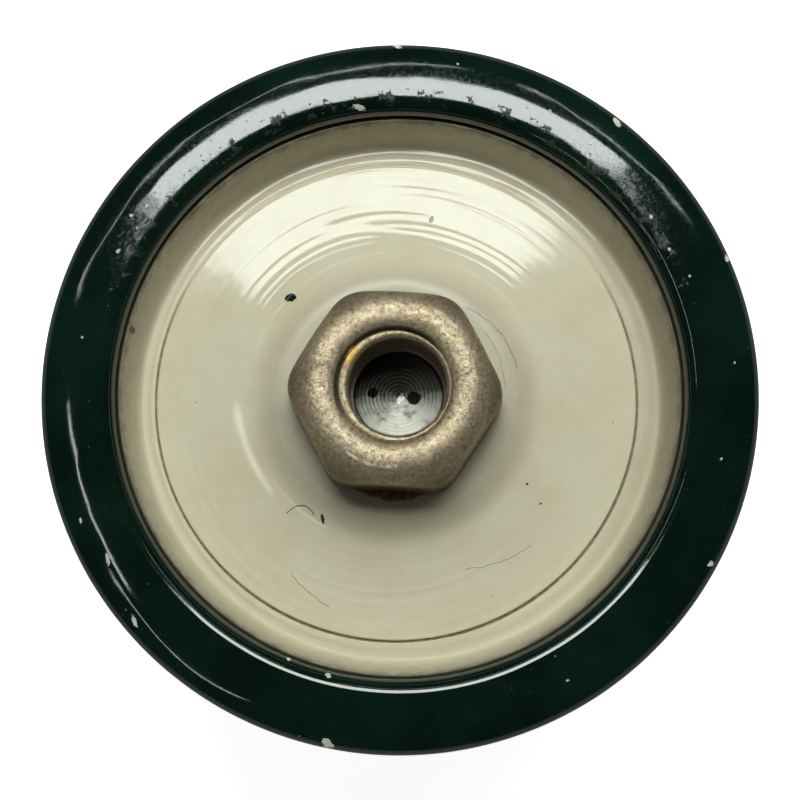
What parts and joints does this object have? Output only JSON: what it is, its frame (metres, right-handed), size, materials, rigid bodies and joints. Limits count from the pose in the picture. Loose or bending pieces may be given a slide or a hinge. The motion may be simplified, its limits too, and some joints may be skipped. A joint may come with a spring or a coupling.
{
  "type": "pin insulator",
  "caption": "Small pin insulator: glazed bell with rolled rim, cream flared core, hex-headed metal bush with a blind pin socket, tie wire neck and crown channel.",
  "frame": {"origin": "on the bell's axis at the plane of the crown it rests on, the centre of the bounding box's bottom face", "axes": "+Z along the pin socket's axis out of the mouth, +Y along the conductor channel, +X across that channel"},
  "size_m": [0.063, 0.063, 0.0478],
  "materials": {
    "green_glaze": "glossy bottle green glaze on porcelain, opaque",
    "cream_glaze": "glossy cream glaze on porcelain, opaque",
    "cream_core": "glossy cream glaze on porcelain, opaque",
    "cement": "matt neat cement, opaque",
    "bitumen": "dull bitumen",
    "bedding": "dull bedding compound",
    "core_bitumen": "dull bitumen, olive with age",
    "nickelled_brass": "aged nickel plate worn to the brass",
    "turned_aluminium": "bright turned",
    "fibre": "oil-darkened fibre",
    "galvanised_steel": "dull galvanised",
    "cork": "pressed cork"
  },
  "bodies": {
    "insulator": {"outer_shell": "green_glaze", "inner_shell": "cream_glaze", "core_cone": "cream_core", "shell_cement": "cement", "rim_seal": "bitumen", "core_bedding": "bedding", "core_seal": "core_bitumen", "anchor_sleeve": "galvanised_steel", "anchor_cement": "cement", "cushion_disc": "cork"},
    "washer": {"hub_washer": "fibre"},
    "bush": {"socket_bush": "nickelled_brass", "stop_plug": "turned_aluminium"}
  },
  "joints": [
    {"name": "bush_lift", "type": "slide", "parent": "insulator", "child": "washer", "axis": [0, 0, 1], "range_m": [0, 0.00825]},
    {"name": "bush_turn", "type": "hinge", "parent": "washer", "child": "bush", "pos_m": [-0.00036, 0, 0.0416], "axis": [0, 0, 1], "range_deg": [0, 1980]}
  ],
  "couplings": [
    {"joint": "bush_turn", "follows": "bush_lift", "rad_per_m": 4188.8}
  ]
}
